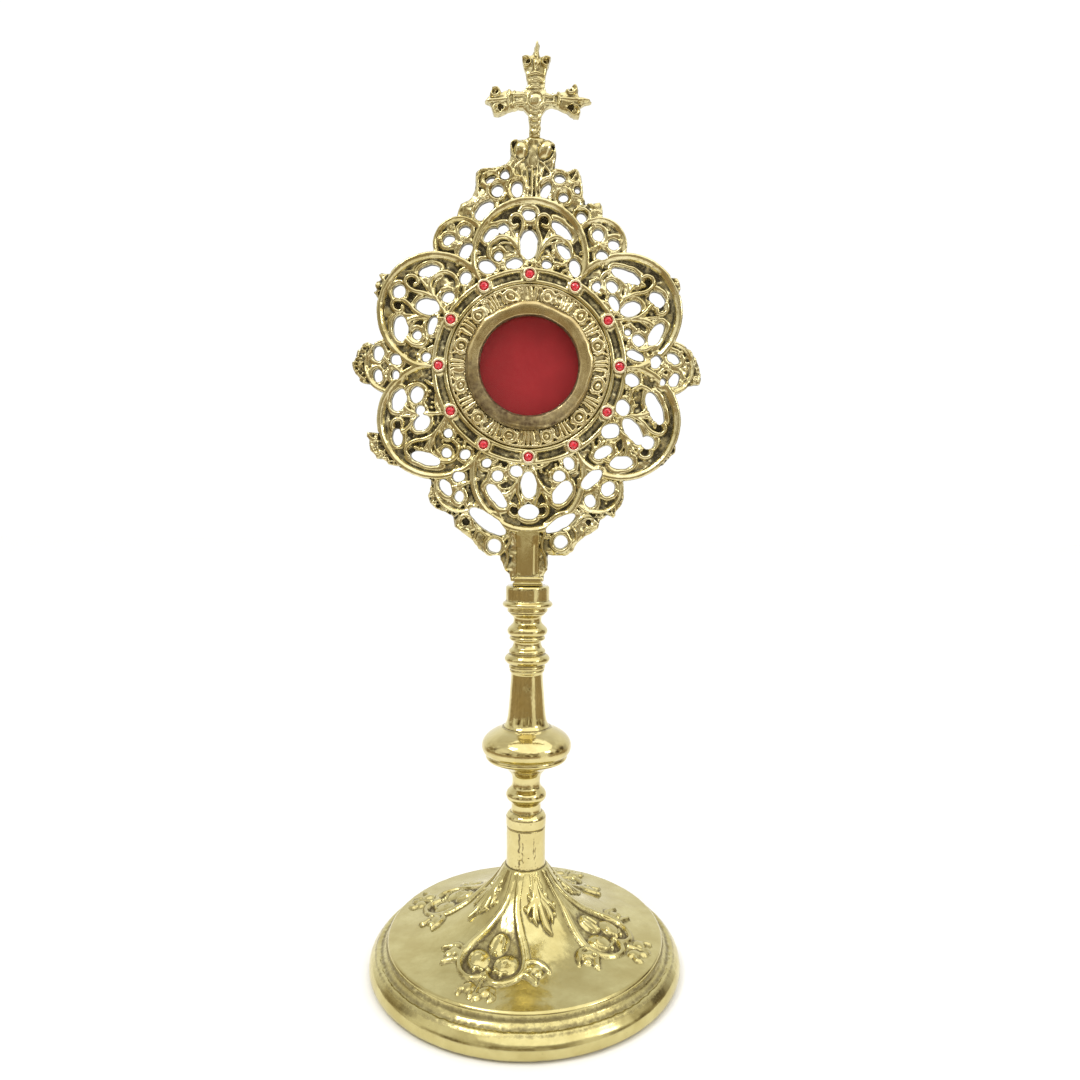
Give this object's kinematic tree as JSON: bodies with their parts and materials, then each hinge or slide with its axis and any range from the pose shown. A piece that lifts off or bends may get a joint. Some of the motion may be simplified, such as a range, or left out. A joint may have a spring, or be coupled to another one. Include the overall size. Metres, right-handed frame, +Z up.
{
  "type": "reliquary monstrance",
  "caption": "Cast brass relic monstrance: round moulded foot, turned stem with knop, pierced lobed head with red stones, round glazed window and hinged rear door, small cross on top",
  "frame": {"origin": "on the floor at the centre of the foot", "axes": "+Z up along the stem, the front of the head and its window face -Y, +X to the viewer's right"},
  "size_m": [0.1206, 0.1096, 0.32],
  "materials": {
    "cast_brass": "polished casting with fine pits",
    "stem_brass": "polished",
    "patina_brass": "polished high spots with dark olive patina in the recesses",
    "bezel_brass": "satin, lightly scratched",
    "collet_brass": "bright",
    "sheet_brass": "brushed sheet",
    "steel": "zinc plated",
    "glass": "clear",
    "red_stone": "faceted paste stone",
    "card": "plain card",
    "red_cloth": "matt red lining cloth"
  },
  "bodies": {
    "root": {"foot": "cast_brass", "tie_rod": "steel", "rod_washer": "steel", "rod_nut": "steel", "lower_sleeve": "stem_brass", "lower_baluster": "stem_brass", "knop": "stem_brass", "conical_shaft": "stem_brass", "upper_baluster": "stem_brass", "head_socket": "stem_brass", "rosette": "patina_brass", "cross": "patina_brass", "gadroon_band": "patina_brass", "gem_collets": "collet_brass", "gem_stones": "red_stone", "bezel": "bezel_brass", "window_glass": "glass", "glass_ring": "collet_brass", "capsule_tube": "sheet_brass", "hinge_leaf": "sheet_brass", "hinge_pin": "sheet_brass"},
    "door": {"rear_door": "sheet_brass", "door_tab": "sheet_brass", "lining_card": "card", "red_lining": "red_cloth"}
  },
  "joints": [
    {"name": "door_hinge", "type": "hinge", "parent": "root", "child": "door", "pos_m": [0.0227, 0.0035, 0.21], "axis": [0, 0, -1], "range_deg": [0, 110]}
  ]
}
